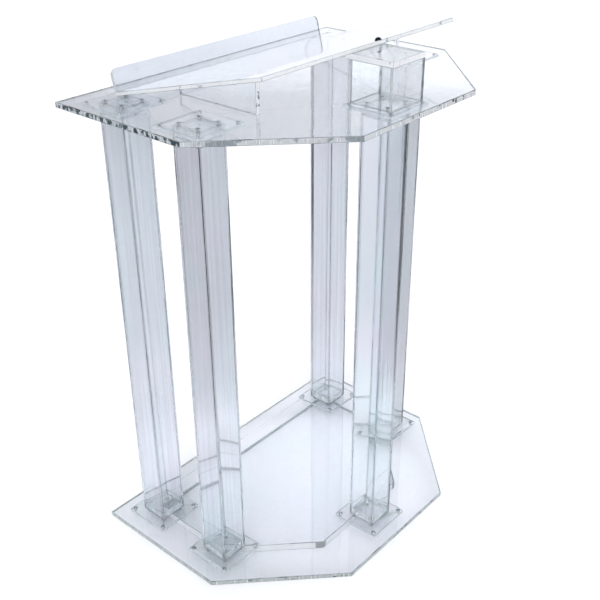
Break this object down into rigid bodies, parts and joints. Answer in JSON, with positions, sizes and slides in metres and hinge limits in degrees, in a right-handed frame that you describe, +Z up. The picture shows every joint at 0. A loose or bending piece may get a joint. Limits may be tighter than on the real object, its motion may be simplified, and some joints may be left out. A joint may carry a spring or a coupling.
{
  "type": "presentation lectern",
  "caption": "Clear acrylic lectern: a chamfered base and shelf joined by square tube columns, with a sloped reading board and book lip on the shelf.",
  "frame": {"origin": "on the floor, under the middle of the plates", "axes": "+Z up; +Y towards the speaker, who stands at the low edge of the reading board; -Y towards the audience; +X across the lectern, to the right as seen from the audience side"},
  "size_m": [0.83, 0.584, 1.1896],
  "materials": {
    "plate_acrylic": "polished clear acrylic sheet",
    "tube_acrylic": "polished clear acrylic tube",
    "flange_acrylic": "polished clear acrylic",
    "board_acrylic": "polished clear acrylic sheet",
    "support_acrylic": "polished clear acrylic sheet",
    "screw_steel": "stainless steel, machined",
    "bolt_black": "black oxide steel"
  },
  "bodies": {
    "root": {"base_plinth": "plate_acrylic", "base_plate": "plate_acrylic", "shelf_plate": "plate_acrylic", "column_back_left": "tube_acrylic", "base_flange_back_left": "flange_acrylic", "shelf_flange_back_left": "flange_acrylic", "base_plug_back_left": "flange_acrylic", "shelf_plug_back_left": "flange_acrylic", "column_back_right": "tube_acrylic", "base_flange_back_right": "flange_acrylic", "shelf_flange_back_right": "flange_acrylic", "base_plug_back_right": "flange_acrylic", "shelf_plug_back_right": "flange_acrylic", "column_side_left": "tube_acrylic", "base_flange_side_left": "flange_acrylic", "shelf_flange_side_left": "flange_acrylic", "base_plug_side_left": "flange_acrylic", "shelf_plug_side_left": "flange_acrylic", "column_side_right": "tube_acrylic", "base_flange_side_right": "flange_acrylic", "shelf_flange_side_right": "flange_acrylic", "base_plug_side_right": "flange_acrylic", "shelf_plug_side_right": "flange_acrylic", "column_front": "tube_acrylic", "base_flange_front": "flange_acrylic", "shelf_flange_front": "flange_acrylic", "base_plug_front": "flange_acrylic", "shelf_plug_front": "flange_acrylic", "reading_board": "board_acrylic", "book_lip": "board_acrylic", "wedge_support_left": "support_acrylic", "wedge_support_right": "support_acrylic", "riser_wall_front": "support_acrylic", "riser_wall_rear": "support_acrylic", "riser_wall_left": "support_acrylic", "riser_wall_right": "support_acrylic", "riser_cap": "support_acrylic", "base_flange_screws": "screw_steel", "shelf_flange_screws": "screw_steel", "base_plug_screws": "screw_steel", "shelf_plug_screws": "screw_steel", "board_bolt": "bolt_black"}
  },
  "joints": []
}
